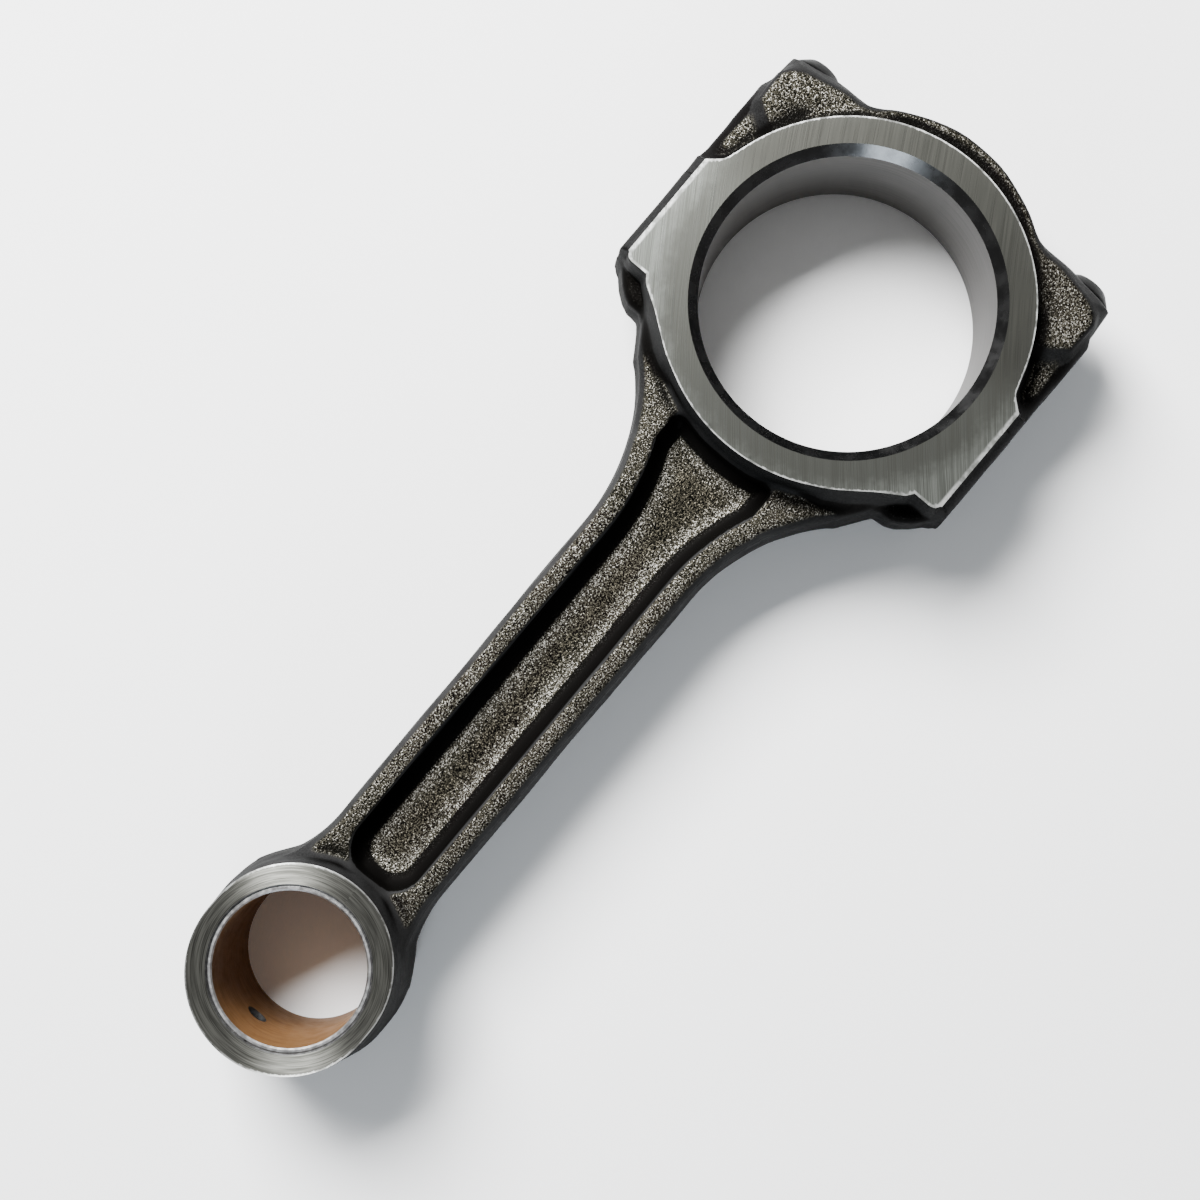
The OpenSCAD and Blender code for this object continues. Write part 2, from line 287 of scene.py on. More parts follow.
def net(field, low, high, step):
    """Vertices and quads on the surface of a quarter field, mirrored to all four quarters."""
    xs = np.arange(low[0], high[0] + step, step)
    ys = np.arange(0, high[1] + 2 * step, step)
    zs = np.arange(0, high[2] + 2 * step, step)
    quarter = field(xs[:, None, None], ys[None, :, None], zs[None, None, :])
    half = np.concatenate([quarter[:, :0:-1], quarter], axis=1)
    whole = np.concatenate([half[:, :, :0:-1], half], axis=2).astype(np.float32)
    whole[[0, -1]] = np.maximum(whole[[0, -1]], 0.5 * step)
    start = np.array([xs[0], -ys[-1], -zs[-1]])
    solid = whole < 0
    corners = [(i, j, k) for i in (0, 1) for j in (0, 1) for k in (0, 1)]
    nx, ny, nz = (n - 1 for n in whole.shape)
    count = sum(solid[i:i + nx, j:j + ny, k:k + nz].astype(np.int8) for i, j, k in corners)
    cell = np.argwhere((count > 0) & (count < 8))
    value = np.stack([whole[tuple((cell + c).T)] for c in corners], -1)
    total, crossings = np.zeros((len(cell), 3)), np.zeros(len(cell))
    for a, ca in enumerate(corners):
        for b, cb in enumerate(corners):
            if sum(cb) != sum(ca) + 1 or sum(abs(p - q) for p, q in zip(ca, cb)) != 1:
                continue
            va, vb = value[:, a], value[:, b]
            crossed = (va < 0) != (vb < 0)
            t = np.where(crossed, va / np.where(crossed, va - vb, 1), 0)[:, None]
            total += crossed[:, None] * (np.array(ca) + t * (np.array(cb) - np.array(ca)))
            crossings += crossed
    points = start + (cell + total / crossings[:, None]) * step
    index = np.full((nx, ny, nz), -1, np.int64)
    index[tuple(cell.T)] = np.arange(len(cell))
    return points, cells_to_quads(solid, index)


def settle(shape, points, step, seed):
    """Move points onto the surface and make it uneven; along the rim of a ground face they meet its edge."""
    at = folded(ground(shape))
    x, y, z = points.T
    grad = slopes(at, x, y, z)
    size = np.linalg.norm(grad, axis=1)
    move = -at(x, y, z)[:, None] * grad / np.maximum(size, 0.3)[:, None] ** 2
    smooth = (size > 0.8) & (size < 1.25) & (np.linalg.norm(move, axis=1) < 0.3 * step)
    flat = np.abs(z) > HALF_W - 0.01
    lift = 0.12 * waves(seed, UNEVEN, x, y, z)[:, None] * grad / np.maximum(size, 0.5)[:, None]
    moved = points + np.where((smooth & ~flat)[:, None], move, 0) + np.where(flat[:, None], 0, lift)
    rim = meet_rim(shape, points, step)
    moved = np.where(np.isnan(rim), moved, rim)
    return np.clip(moved, (CAP_LOW[0], -SIDE, -HALF_W), (ROD_HIGH[0], SIDE, HALF_W))


def meet_rim(shape, points, step):
    """Where a point of the top layer of cells meets the edge of the ground face; not a number elsewhere."""
    at, result = folded(shape), np.full(points.shape, np.nan)
    layer = math.floor(HALF_W / step) * step
    near = np.flatnonzero(np.abs(points[:, 2]) > layer)
    x, y, z = points[near].T
    z = np.sign(z) * HALF_W
    edge = (np.abs(at(x, y, z)) < 0.75 * step) | (np.abs(points[near, 2]) < HALF_W - 0.003)
    for _ in range(3):
        off, grad = at(x, y, z), slopes(at, x, y, z)[:, :2]
        grad /= np.maximum((grad ** 2).sum(1), 0.25)[:, None]
        x, y = x - off * grad[:, 0], y - off * grad[:, 1]
    hit = edge & (np.abs(at(x, y, z)) < 0.02)
    result[near[hit]] = np.stack([x, y, z], -1)[hit]
    return result


def mesh_object(name, points, faces):
    """Object from points in millimetres and faces of one length each."""
    mesh = bpy.data.meshes.new(name)
    if isinstance(faces, np.ndarray):
        mesh.vertices.add(len(points))
        mesh.vertices.foreach_set("co", np.asarray(points, np.float32).ravel() * np.float32(MM))
        size = faces.shape[1]
        mesh.loops.add(faces.size)
        mesh.loops.foreach_set("vertex_index", faces.ravel().astype(np.int32))
        mesh.polygons.add(len(faces))
        mesh.polygons.foreach_set("loop_start", np.arange(0, faces.size, size, dtype=np.int32))
        mesh.update(calc_edges=True)
    else:
        mesh.from_pydata((np.asarray(points) * MM).tolist(), [], faces)
        mesh.update()
    obj = bpy.data.objects.new(name, mesh)
    bpy.context.scene.collection.objects.link(obj)
    return obj


def closed(quads):
    """Whether every edge belongs to exactly two quads."""
    pairs = np.sort(np.stack([quads, np.roll(quads, -1, axis=1)], -1).reshape(-1, 2), axis=1)
    return (np.unique(pairs[:, 0] * 10 ** 8 + pairs[:, 1], return_counts=True)[1] == 2).all()


def forged(name, shape, low, high, step, seed):
    """Forging as a closed mesh; the grid is made a little finer until no two sheets share an edge."""
    for finer in range(8):
        size = step * (1 - 0.01 * finer)
        points, quads = net(ground(shape), low, high, size)
        if closed(quads):
            break
    else:
        raise RuntimeError(name + " is not closed")
    return mesh_object(name, settle(shape, points, size, seed), quads)


def cylinder_grid(radii, heights, turns):
    """Closed skin of a body around Z: radii[height, angle], with a pole at each end."""
    angle = np.arange(turns) * 2 * math.pi / turns
    r = np.broadcast_to(radii, (len(heights), turns))
    ring = np.stack([r * np.cos(angle), r * np.sin(angle), np.broadcast_to(heights[:, None], r.shape)], -1)
    points = np.concatenate([ring.reshape(-1, 3), [[0, 0, heights[0]], [0, 0, heights[-1]]]])
    first, last = len(points) - 2, len(points) - 1
    faces, top = [], (len(heights) - 1) * turns
    for j in range(turns):
        k = (j + 1) % turns
        faces.append((first, k, j))
        faces.append((last, top + j, top + k))
        for i in range(len(heights) - 1):
            a, b = i * turns, (i + 1) * turns
            faces.append((a + j, a + k, b + k, b + j))
    return points, faces


def lathe(name, profile, turns, axis="z", at=(0, 0, 0)):
    """Body turned around an axis from (radius, height) pairs."""
    radii = np.array([p[0] for p in profile])[:, None]
    heights = np.array([float(p[1]) for p in profile])
    points, faces = cylinder_grid(radii, heights, turns)
    return mesh_object(name, placed(points, axis) + np.array(at), faces)


def placed(points, axis):
    """Points around Z turned to lie around +X or -X."""
    x, y, z = points.T
    if axis == "x":
        return np.stack([z, x, y], -1)
    if axis == "-x":
        return np.stack([-z, -x, y], -1)
    return points


def cut(obj, tool, operation="DIFFERENCE"):
    """Boolean with a closed tool, which is used up."""
    step = obj.modifiers.new("cut", "BOOLEAN")
    step.operation, step.solver, step.object = operation, "MANIFOLD", tool
    graph = bpy.context.evaluated_depsgraph_get()
    mesh = bpy.data.meshes.new_from_object(obj.evaluated_get(graph))
    obj.modifiers.remove(step)
    obj.data = mesh
    bpy.data.objects.remove(tool)
    return obj


def split_block():
    """Everything on the shank side of the split, whose face is a fine rough grid."""
    ys = np.arange(-62, 62.1, 0.8)
    zs = np.arange(-26, 26.1, 0.8)
    y, z = np.meshgrid(ys, zs, indexing="ij")
    rough = 0.07 * waves(11, (7, 5, 4, 3.2, 2.6, 2.2, 1.9, 1.7), 0 * y, y, z)
    near = np.stack([rough, y, z], -1).reshape(-1, 3)
    far = np.stack([0 * y + 320, y, z], -1).reshape(-1, 3)
    ny, nz = y.shape
    at = np.arange(ny * nz).reshape(ny, nz)
    a, b, c, d = at[:-1, :-1].ravel(), at[1:, :-1].ravel(), at[1:, 1:].ravel(), at[:-1, 1:].ravel()
    skin = np.stack([a, d, c, b], -1)
    other = np.stack([a, b, c, d], -1) + ny * nz
    rim = np.concatenate([at[:-1, 0], at[-1, :-1], at[:0:-1, -1], at[0, :0:-1]])
    nxt = np.roll(rim, -1)
    wall = np.stack([rim, nxt, nxt + ny * nz, rim + ny * nz], -1)
    return mesh_object("split", np.concatenate([near, far]), np.concatenate([skin, other, wall]))


def bore_tool(r, bevel, at=(0, 0, 0), turns=256):
    """Through bore with a bevel at each mouth."""
    top, reach = HALF_W, HALF_W + 2
    flare = r + bevel + 2
    profile = [(flare, -reach), (r, bevel - top), (r, top - bevel), (flare, reach)]
    return lathe("bore", profile, turns, at=at)


def thread_radii(heights, turns, root, crest, pitch, start, stop):
    """Radius of a thread at each height and angle, fading out at start and stop."""
    angle = np.arange(turns) / turns
    phase = (heights[:, None] / pitch - angle[None, :]) % 1
    ridge = np.clip(1.35 - np.abs(phase - 0.5) * 4, 0, 1)
    fade = np.clip((heights - start) / pitch, 0, 1) * np.clip((stop - heights) / pitch, 0, 1)
    return root + (crest - root) * ridge * fade[:, None]


def tapped_hole(y):
    """Blind tapped hole from the split plane, with its thread."""
    depth = SCREW_TIP + 2.5
    heights = np.concatenate([[-3], np.arange(0.4, depth, 0.19), [depth + 0.1, depth + 3.2]])
    radii = thread_radii(heights, 64, HOLE_R, HOLE_R + 0.55, 1.5, 0.6, depth - 2)
    radii[0], radii[-1] = HOLE_R, 0.3
    points, faces = cylinder_grid(radii, heights, 64)
    return mesh_object("tapped", placed(points, "x") + np.array((0, y, 0)), faces)


def machined(obj, tools):
    """Cut every tool out of an object."""
    for tool in tools:
        cut(obj, tool)
    return obj


def make_rod():
    """Rod with both bores, the oil hole and the two tapped holes."""
    rod = forged("rod_forging", rod_shape, (-2.5, 0, 0), ROD_HIGH, 0.76, 3)
    cut(rod, split_block(), "INTERSECT")
    oil = lathe("oil", [(OIL_R, 10), (OIL_R, 30), (OIL_R + 1.2, 31.2)], 48, "x", (PIN_X, 0, 0))
    tools = [bore_tool(BORE_R, CHAMFER), bore_tool(BUSH_R, 0.3, (PIN_X, 0, 0), 192), oil]
    return machined(rod, tools + [tapped_hole(SCREW_Y), tapped_hole(-SCREW_Y)])


def make_cap():
    """Cap with its half of the bore, and a screw hole and a seat through each ear."""
    cap = forged("cap_forging", cap_shape, CAP_LOW - 1.5, CAP_HIGH + (2.5, 0, 0), 0.66, 5)
    cut(cap, split_block())
    tools = [bore_tool(BORE_R, CHAMFER)]
    for y in (SCREW_Y, -SCREW_Y):
        profile = [(HOLE_R, -4), (HOLE_R, -SEAT_X - 0.001), (SEAT_R, -SEAT_X), (SEAT_R, 80)]
        tools.append(lathe("spot", profile, 96, "-x", (0, y, 0)))
    return machined(cap, tools)


def make_screw(name, y):
    """Cap screw: rolled thread, waist, round head with a knurled side, a domed end and a six-lobe socket."""
    tip, turns = SCREW_TIP, 72
    seat, end = -SEAT_X, -HEAD_END
    low = np.arange(1.0 - tip, 2.4, 0.15)
    body = thread_radii(low, turns, 4.7, THREAD_R, 1.5, 0.6 - tip, 2.3)
    heights = np.concatenate([[-tip, 0.6 - tip], low])
    radii = np.concatenate([np.full((1, turns), 3.9), np.full((1, turns), 4.6), body])
    shape = [(5.0, 3.2), (5.0, seat - 1.2), (5.25, seat - 0.5), (5.55, seat - 0.02), (6.6, seat),
             (HEAD_R - 0.45, seat + 0.02), (HEAD_R - 0.1, seat + 0.5), (HEAD_R - 0.1, seat + 1.1)]
    rows = [(np.full(turns, r), h) for r, h in shape]
    ribs = HEAD_R - 0.12 + 0.12 * np.cos(np.arange(turns) * math.pi)
    rows += [(ribs, seat + 1.4), (ribs, end - 3.6)]
    dome = [(HEAD_R - 0.2, end - 3.2), (HEAD_R - 0.6, end - 2.6), (HEAD_R - 2.6, end - 0.6),
            (HEAD_R - 3.2, end - 0.15), (HEAD_R - 3.6, end), (4.3, end)]
    rows += [(np.full(turns, r), h) for r, h in dome]
    heights = np.concatenate([heights, [h for _, h in rows]])
    radii = np.concatenate([radii, [r for r, _ in rows]])
    points, faces = cylinder_grid(radii, heights, turns)
    screw = mesh_object(name, placed(points, "-x") + np.array((0, y, 0)), faces)
    angle = np.arange(96) * 2 * math.pi / 96
    lobes = 3.65 + 0.42 * np.cos(6 * angle)
    depth = np.array([end - 4.6, end - 4.2, end - 0.5, end + 1])
    profile = np.stack([lobes * 0.2, lobes, lobes, lobes * 1.1])
    points, faces = cylinder_grid(profile, depth, 96)
    return cut(screw, mesh_object("socket", placed(points, "-x") + np.array((0, y, 0)), faces))


def make_bush():
    """Rolled bush with a bevel at each mouth and the oil hole."""
    low, high = BUSH_LOW[2], BUSH_HIGH[2]
    profile = [(BUSH_R - 0.4, low), (BUSH_R - 0.02, low + 0.4), (BUSH_R - 0.02, high - 0.4),
               (BUSH_R - 0.4, high)]
    bush = lathe("small_end_bush_sleeve", profile, 192, at=(PIN_X, 0, 0))
    inner = [(PIN_R + 2.4, low - 2), (PIN_R, low + 0.4), (PIN_R, high - 0.4), (PIN_R + 2.4, high + 2)]
    cut(bush, lathe("inner", inner, 192, at=(PIN_X, 0, 0)))
    return cut(bush, lathe("oil", [(OIL_R, 10), (OIL_R, 30)], 48, "x", (PIN_X, 0, 0)))


# ---------------------------------------------------------------- finishes

# the order of the materials in the list "steel"
FORGED, GROUND, BORED, BEVEL, TURNED, SPLIT, DRILLED = range(7)


def polygon_data(mesh):
    """Centre in millimetres and normal of each face."""
    n = len(mesh.polygons)
    centre, normal = np.empty(n * 3, np.float32), np.empty(n * 3, np.float32)
    mesh.polygons.foreach_get("center", centre)
    mesh.polygons.foreach_get("normal", normal)
    return centre.reshape(-1, 3) / MM, normal.reshape(-1, 3)


def zones(obj):
    """Finish of each face, told by where it lies and the way it faces."""
    c, n = polygon_data(obj.data)
    x, y, z = c.T
    up = np.abs(n[:, 2])
    r_big, r_small = np.hypot(x, y), np.hypot(x - PIN_X, y)
    r_screw = np.hypot(np.abs(y) - SCREW_Y, z)
    kind = np.full(len(c), FORGED)
    level = np.abs(z) > HALF_W - 0.03
    kind[level & (up > 0.95) & (x < 100)] = GROUND
    kind[level & (up > 0.95) & (x > 100)] = TURNED
    inward = (n[:, 0] * x + n[:, 1] * y) < 0
    kind[(r_big < BORE_R + 0.1) & (up < 0.1)] = BORED
    kind[(r_big < BORE_R + CHAMFER + 0.1) & (up > 0.5) & (up < 0.9) & inward] = BEVEL
    kind[(r_small < BUSH_R + 0.05)] = BORED
    kind[(r_small < BUSH_R + 0.6) & (up > 0.5) & (up < 0.9)] = DRILLED
    kind[(np.abs(x) < 0.35) & (np.abs(n[:, 0]) > 0.6)] = SPLIT
    drilled = r_screw < HOLE_R + 0.7
    drilled &= (x > -38.5) & (x < SCREW_TIP + 5.8) & (np.abs(n[:, 0]) < 0.98) & (np.abs(x) > 0.35)
    kind[drilled & ((n[:, 0] < 0.2) | (x < SCREW_TIP + 0.4))] = DRILLED
    seat = (r_screw < SEAT_R + 0.1) & (x < SEAT_X + 0.1)
    kind[seat & (x > SEAT_X - 0.1) & (np.abs(n[:, 0]) > 0.9)] = DRILLED
    kind[(np.abs(r_screw - SEAT_R) < 0.05) & (x < SEAT_X)] = DRILLED
    kind[(np.hypot(y, z) < OIL_R + 0.1) & (x > PIN_X + 15)] = DRILLED
    return kind


def bush_zones(obj):
    """Lining 0, bright rim at both mouths 1, drilled wall of the oil hole 2."""
    c, n = polygon_data(obj.data)
    x, y, z = c.T
    mouth = (np.abs(n[:, 2]) > 0.3) & (np.abs(z) > BUSH_HIGH[2] - 0.8)
    oil = (np.hypot(y, z) < OIL_R + 0.1) & (x > PIN_X + 15) & (np.abs(n[:, 0]) < 0.5)
    return np.select([mouth, oil], [1, 2], 0)


def shoulder_foot_shade(tall, x, y, z):
    """Painted shade: 1 on the low ground along the foot of the shoulders, fading out a few millimetres away
    from them.
    """
    beside_rod = np.where(y > 41, 7.0, 2.4)
    beside_cap = np.where(z < RECESS_TOP + 0.4, 4.6, 2.3)
    reach = np.where(x > 0, beside_rod, beside_cap)
    return np.clip(1.6 - 1.6 * folded(tall)(x, y, z) / reach, 0, 1) * (z < EAR_TOP + 0.6) * (x < 60)


def recess_shade(x, y, z):
    """Painted shade: 1 in the recesses between the ears and the shoulders of the cap, except on a small patch
    in each.
    """
    (ax, ay), (bx, by) = RECESS_PATCH
    along = np.clip((x - ax) / (bx - ax), 0, 1)
    off_patch = np.hypot(x - ax - along * (bx - ax), y - ay - along * (by - ay)) - PATCH_R
    return np.clip(off_patch, 0, 1) * (x < -4) * (x > -30) * (y > 42) * (z < RECESS_TOP + 0.4)


def mark_surface(obj, shape, tall):
    """Point attributes read off the distance fields.

    'hollow' runs from 0 on open ground to 1 deep in a corner and sets the painted shade laid there, 'band'
    sets a painted highlight along the foot of the channel walls, 'web' is the web between those two strips,
    and 'rim' is the distance in millimetres from the edge of a ground face, up to 1.
    """
    mesh = obj.data
    n = len(mesh.vertices)
    co, no = np.empty(n * 3, np.float32), np.empty(n * 3, np.float32)
    mesh.vertices.foreach_get("co", co)
    mesh.vertices.foreach_get("normal", no)
    co, no = co.reshape(-1, 3).astype(float) / MM, no.reshape(-1, 3)
    at, closed_in = folded(ground(shape)), np.zeros(n)
    # how closed in each point is, probed along its normal; it sets how much painted shade the point gets
    for distance in (1.5, 4.0, 9.0):
        x, y, z = (co + no * distance).T
        closed_in += np.clip(1 - at(x, y, z) / distance, 0, 1) / 2
    x, y, z = co[:, 0], np.abs(co[:, 1]), np.abs(co[:, 2])
    facing = np.clip((np.abs(no[:, 2]) - 0.25) / 0.3, 0, 1)
    # depth into the channel in plan; the channel's plan also runs over the cap, where it marks nothing
    in_shank = (z < SHANK_TOP - 0.4) & (x > 30)
    inset = np.where(in_shank, -channel_plan(x, y), -1)
    # painted shade on the channel walls
    wall = np.clip(inset / 0.25, 0, 1) * np.clip((4.4 - inset) / 1.2, 0, 1)
    closed_in *= 1 - np.clip((inset - 3.4) / 1.2, 0, 1)
    # painted shade at the foot of the shoulders and in the recesses of the cap, on faces that look up or down
    foot = shoulder_foot_shade(tall, x, y, z) * facing
    recess = recess_shade(x, y, z) * facing
    marks = {"painted_shade": np.max([np.clip(closed_in, 0, 1), wall, 0.5 * foot, 0.4 * recess], axis=0),
             # painted highlight along the foot of the channel walls
             "painted_highlight": np.exp(-((inset - 5.4) / 0.9) ** 2),
             "web": np.clip((inset - 7.2) / 2.4, 0, 1),
             "rim": np.clip(-folded(shape)(x, y, z), 0, 1)}
    for name, value in marks.items():
        layer = mesh.attributes.new(name, "FLOAT", "POINT")
        layer.data.foreach_set("value", value.astype(np.float32))


class Nodes:
    """Short way to build a material's node tree."""

    def __init__(self, name):
        self.material = bpy.data.materials.new(name)
        self.material.use_nodes = True
        self.tree = self.material.node_tree
        self.shader = self.tree.nodes["Principled BSDF"]

    def add(self, kind, **values):
        node = self.tree.nodes.new(kind)
        for key, value in values.items():
            setattr(node, key, value)
        return node

    def put(self, socket, value):
        if isinstance(value, bpy.types.NodeSocket):
            self.tree.links.new(value, socket)
        else:
            socket.default_value = value

    def math(self, operation, a, b=0.0, c=0.0, clamp=False):
        node = self.add("ShaderNodeMath", operation=operation, use_clamp=clamp)
        for socket, value in zip(node.inputs, (a, b, c)):
            self.put(socket, value)
        return node.outputs[0]

    def vector(self, operation, a, b=(0, 0, 0), scale=1.0):
        node = self.add("ShaderNodeVectorMath", operation=operation)
        self.put(node.inputs[0], a)
        self.put(node.inputs[1], b)
        if operation == "SCALE":
            self.put(node.inputs["Scale"], scale)
        return node.outputs["Value" if operation in ("LENGTH", "DOT_PRODUCT") else "Vector"]

    def place(self):
        """Place on the object, in millimetres."""
        return self.vector("SCALE", self.add("ShaderNodeTexCoord").outputs["Object"], scale=1000)

    def mark(self, name):
        return self.add("ShaderNodeAttribute", attribute_name=name).outputs["Fac"]

    def noise(self, vector, size, detail=2.0, rough=0.5, out="Fac"):
        node = self.add("ShaderNodeTexNoise")
        self.put(node.inputs["Vector"], vector)
        self.put(node.inputs["Scale"], 1.0 / size)
        self.put(node.inputs["Detail"], detail)
        self.put(node.inputs["Roughness"], rough)
        return node.outputs[out]

    def ramp(self, value, low, high, to_low=0.0, to_high=1.0):
        node = self.add("ShaderNodeMapRange", interpolation_type="SMOOTHSTEP")
        for socket, v in zip(node.inputs[:5], (value, low, high, to_low, to_high)):
            self.put(socket, v)
        return node.outputs[0]

    def blend(self, factor, a, b, kind="MIX"):
        node = self.add("ShaderNodeMix", data_type="RGBA", blend_type=kind)
        self.put(node.inputs["Factor"], factor)
        colours = [s for s in node.inputs if s.type == "RGBA"]
        for socket, value in zip(colours, (a, b)):
            self.put(socket, value)
        return [s for s in node.outputs if s.type == "RGBA"][0]

    def bump(self, height, strength, distance):
        node = self.add("ShaderNodeBump")
        self.put(node.inputs["Height"], height)
        self.put(node.inputs["Strength"], strength)
        self.put(node.inputs["Distance"], distance * MM)
        self.put(self.shader.inputs["Normal"], node.outputs[0])

    def parts(self, vector):
        node = self.add("ShaderNodeSeparateXYZ")
        self.put(node.inputs[0], vector)
        return node.outputs

    def joint(self, x, y, z=0.0):
        node = self.add("ShaderNodeCombineXYZ")
        for socket, value in zip(node.inputs, (x, y, z)):
            self.put(socket, value)
        return node.outputs[0]

    def finish(self, colour, metallic, roughness, **more):
        self.put(self.shader.inputs["Base Color"], colour)
        self.put(self.shader.inputs["Metallic"], metallic)
        self.put(self.shader.inputs["Roughness"], roughness)
        for key, value in more.items():
            self.put(self.shader.inputs[key.replace("_", " ").title().replace("Ior", "IOR")], value)
        return self.material


def grey(v, warm=0.0):
    """Grey of a value, warmed by a small share."""
    return (v * (1 + warm), v, v * (1 - warm), 1.0)


def forged_top(n, raised, bright):
    """Colour of ground that faces up or down: bright grains, partly painted glints, with near black painted
    shade between them; browner grains on the web.
    """
    between = n.blend(n.ramp(raised, 0.42, 0.53), (0.001, 0.001, 0.001, 1), (0.036, 0.033, 0.024, 1))
    grains = n.blend(n.mark("web"), (0.28, 0.27, 0.245, 1), (0.19, 0.172, 0.13, 1))
    return n.blend(bright, between, grains)


def forged_flank(n, x, coarse, patches):
    """Colour of the steep sides: smooth and painted dark as shade, a little lighter along the shank."""
    shank = n.math("MULTIPLY", n.ramp(x, 45, 60), n.ramp(x, 200, 185))
    # near black, painted shade on the steep sides
    side = n.blend(shank, grey(0.008), grey(0.026))
    side = n.blend(n.ramp(coarse, 0.35, 0.65, 0.0, 0.6), side, grey(0.022))
    return n.blend(n.ramp(patches, 0.35, 0.75, 0.0, 0.5), side, grey(0.01))


def forged_steel():
    """Shot-blasted forging: coarse grain where it faces up or down, its bright grains partly painted glints
    and the near black between them painted shade; smoother flanks painted dark as shade; painted shade in
    corners, recesses and on the channel walls.
    """
    n = Nodes("forged_steel")
    p = n.place()
    x, _, z = n.parts(p)
    normal = n.add("ShaderNodeTexCoord").outputs["Normal"]
    below_ears = n.ramp(n.math("ABSOLUTE", z), EAR_TOP + 1.5, EAR_TOP + 0.5)
    # grain, partly painted glints, only where the surface faces up or down and below the tops of the ears
    flat = n.math("MULTIPLY", n.ramp(n.math("ABSOLUTE", n.parts(normal)[2]), 0.78, 0.96), below_ears)
    grain = n.noise(p, 0.5, 1.5, 0.55)
    specks = n.noise(p, 0.3, 1.0, 0.5)
    patches = n.noise(p, 7.0, 2.0, 0.5)
    coarse = n.math("ADD", n.math("MULTIPLY", grain, 0.5), n.math("MULTIPLY", specks, 0.5))
    # brighter grains along the foot of the channel walls: a painted highlight
    bias = n.math("MULTIPLY_ADD", n.mark("painted_highlight"), 0.04, n.math("MULTIPLY_ADD", patches, 0.06, -0.03))
    raised = n.math("MULTIPLY_ADD", n.mark("web"), -0.03, n.math("ADD", coarse, bias))
    # the brightest grains are partly the steel's grain and partly painted glints
    bright = n.math("MULTIPLY", n.ramp(raised, 0.54, 0.64), flat)
    # faces that look up or down take the grainy colour, steep sides the dark colour painted as shade
    base = n.blend(flat, forged_flank(n, x, coarse, patches), forged_top(n, raised, bright))
    # painted shade, near black, in corners, in recesses and on the channel walls
    base = n.blend(n.ramp(n.mark("painted_shade"), 0.06, 0.42, 0.0, 0.98), base, grey(0.002, 0.1))
    n.bump(n.math("MULTIPLY", coarse, n.math("MULTIPLY_ADD", flat, 0.8, 0.2)), 1.0, 0.3)
    metallic = n.math("MULTIPLY_ADD", flat, 0.35, 0.4)
    gloss = n.math("MULTIPLY_ADD", bright, 0.4, 0.04)
    return n.finish(base, metallic, n.ramp(bright, 0, 1, 0.6, 0.4), specular_tint=grey(0.3),
                    specular_ior_level=gloss)


def streaks(n, p, centre, across, along, detail=2.0):
    """Noise drawn out along circles about a centre, and the way across those circles."""
    rel = n.vector("SUBTRACT", p, centre)
    x, y, _ = n.parts(rel)
    radius = n.vector("LENGTH", n.joint(x, y))
    angle = n.math("ARCTAN2", y, x)
    # millimetres of arc, at a rough distance of the face from the centre
    arc = n.math("MULTIPLY", angle, 60.0 if centre[0] > 0 else 400.0)
    where = n.joint(n.math("DIVIDE", radius, across), n.math("DIVIDE", arc, along))
    way = n.vector("NORMALIZE", n.joint(x, y))
    return n.noise(where, 1.0, detail, 0.6), way


def painted_edge_highlight(n, p):
    """Painted highlight: a thin broken bright line along the edge of a ground face."""
    line = n.ramp(n.mark("rim"), 0.42, 0.2)
    return n.math("MULTIPLY", line, n.ramp(n.noise(p, 6.0, 3.0, 0.7), 0.38, 0.55, 0.2, 0.95))


GRIND_CENTRE = (-225, 320, 0)


def ground_steel():
    """Side face of the big end, ground with a wheel that left long shallow arcs; darker around the bore, and
    painted darker on the cap's half as shade.
    """
    n = Nodes("ground_steel")
    p = n.place()
    fine, way = streaks(n, p, GRIND_CENTRE, 0.28, 26)
    wide, _ = streaks(n, p, GRIND_CENTRE, 1.6, 60)
    lines = n.math("ADD", n.math("MULTIPLY", fine, 0.6), n.math("MULTIPLY", wide, 0.4))
    stains = n.noise(p, 22.0, 3.0, 0.6)
    x, y, _ = n.parts(p)
    radius = n.vector("LENGTH", n.joint(x, y))
    base = n.blend(n.ramp(lines, 0.4, 0.6), (0.1, 0.106, 0.094, 1), (0.25, 0.262, 0.24, 1))
    base = n.blend(n.ramp(stains, 0.4, 0.75, 0.0, 0.35), base, (0.13, 0.132, 0.12, 1))
    # darker around the bore, with a ragged border
    near_bore = n.ramp(n.math("MULTIPLY_ADD", n.noise(p, 5.0, 3.0, 0.7), 8.0, radius), 56.0, 48.0, 0.0, 0.7)
    base = n.blend(near_bore, base, (0.06, 0.06, 0.052, 1))
    # painted shade: the cap's half of the face is painted darker
    cap_side = n.ramp(x, 2.0, -16.0)
    base = n.blend(n.math("MULTIPLY", cap_side, 0.85), base, (0.055, 0.055, 0.048, 1))
    # painted highlight along the edge of the face
    base = n.blend(painted_edge_highlight(n, p), base, (0.75, 0.76, 0.74, 1))
    n.bump(n.math("MULTIPLY", lines, n.math("MULTIPLY_ADD", cap_side, -0.7, 1.0)), 0.5, 0.045)
    n.put(n.shader.inputs["Tangent"], way)
    return n.finish(base, 0.9, n.ramp(lines, 0.3, 0.7, 0.34, 0.25), anisotropic=0.4)


